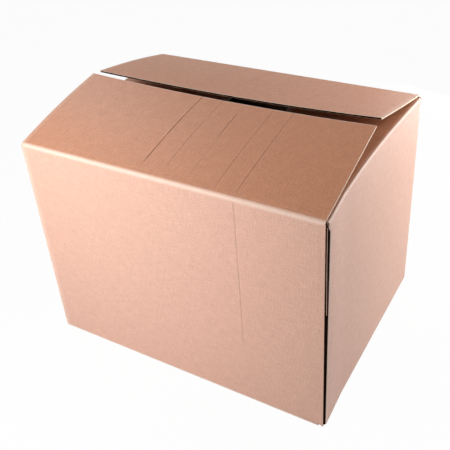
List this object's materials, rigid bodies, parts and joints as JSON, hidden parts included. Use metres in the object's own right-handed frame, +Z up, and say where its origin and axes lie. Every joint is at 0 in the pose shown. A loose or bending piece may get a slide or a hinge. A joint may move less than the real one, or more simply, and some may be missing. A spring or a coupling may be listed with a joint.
{
  "type": "corrugated carton",
  "caption": "Slotted corrugated shipping carton with a glued corner joint, a closed base, folded-in short top flaps and raised long top flaps that swing on their scores.",
  "frame": {"origin": "centre of the closed base, on the ground", "axes": "+X along the long front wall to the right, +Y from the front wall to the back wall, +Z up"},
  "size_m": [0.6, 0.458, 0.4989],
  "materials": {
    "kraft_board": "satin brown kraft liner"
  },
  "bodies": {
    "carton": {"carton_body": "kraft_board"},
    "front_lid": {"front_flap": "kraft_board"},
    "back_lid": {"back_flap": "kraft_board"}
  },
  "joints": [
    {"name": "front_flap_hinge", "type": "hinge", "parent": "carton", "child": "front_lid", "pos_m": [0, -0.2293, 0.4503], "axis": [1, 0, 0], "range_deg": [-12.6, 250]},
    {"name": "back_flap_hinge", "type": "hinge", "parent": "carton", "child": "back_lid", "pos_m": [0, 0.2293, 0.4503], "axis": [-1, 0, 0], "range_deg": [-11.5, 251]}
  ]
}
